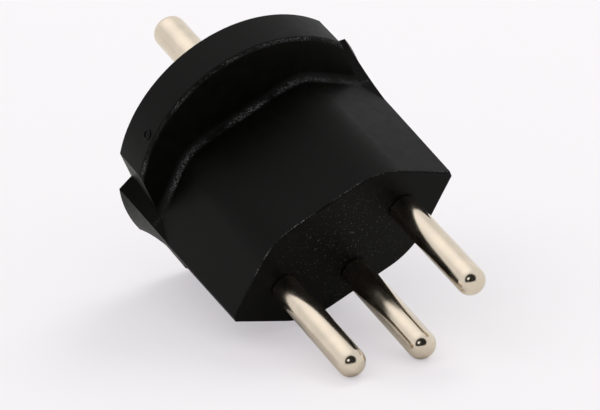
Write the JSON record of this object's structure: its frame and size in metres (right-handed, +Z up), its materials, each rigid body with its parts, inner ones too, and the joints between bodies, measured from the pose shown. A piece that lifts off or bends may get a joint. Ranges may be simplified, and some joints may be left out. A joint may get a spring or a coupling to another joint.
{
  "type": "adapter plug",
  "caption": "Adapter plug with a six-sided plug end and round pins, and a round flange with a two-hole socket face and a raised earth pin.",
  "frame": {"origin": "on the surface the plug lies on, under the middle of its bounding box", "axes": "+Z up, +Y along the plug's length from the front pins to the socket face, seen from above; the plug lies on two front pins and the flange, so its own axis leans up to the rear"},
  "size_m": [0.0384, 0.0586, 0.0383],
  "materials": {
    "black_plastic": "moulded black plastic, fine satin grain",
    "nickel": "bright nickel plating with a warm tone",
    "brass": "plain stamped and turned brass",
    "steel": "zinc-plated screw"
  },
  "bodies": {
    "root": {"housing": "black_plastic", "rear_cover": "black_plastic", "live_pin": "nickel", "neutral_pin": "nickel", "front_earth_pin": "nickel", "rear_earth_pin": "nickel", "live_sleeve": "brass", "neutral_sleeve": "brass", "earth_strip": "brass", "cover_screw": "steel"}
  },
  "joints": []
}
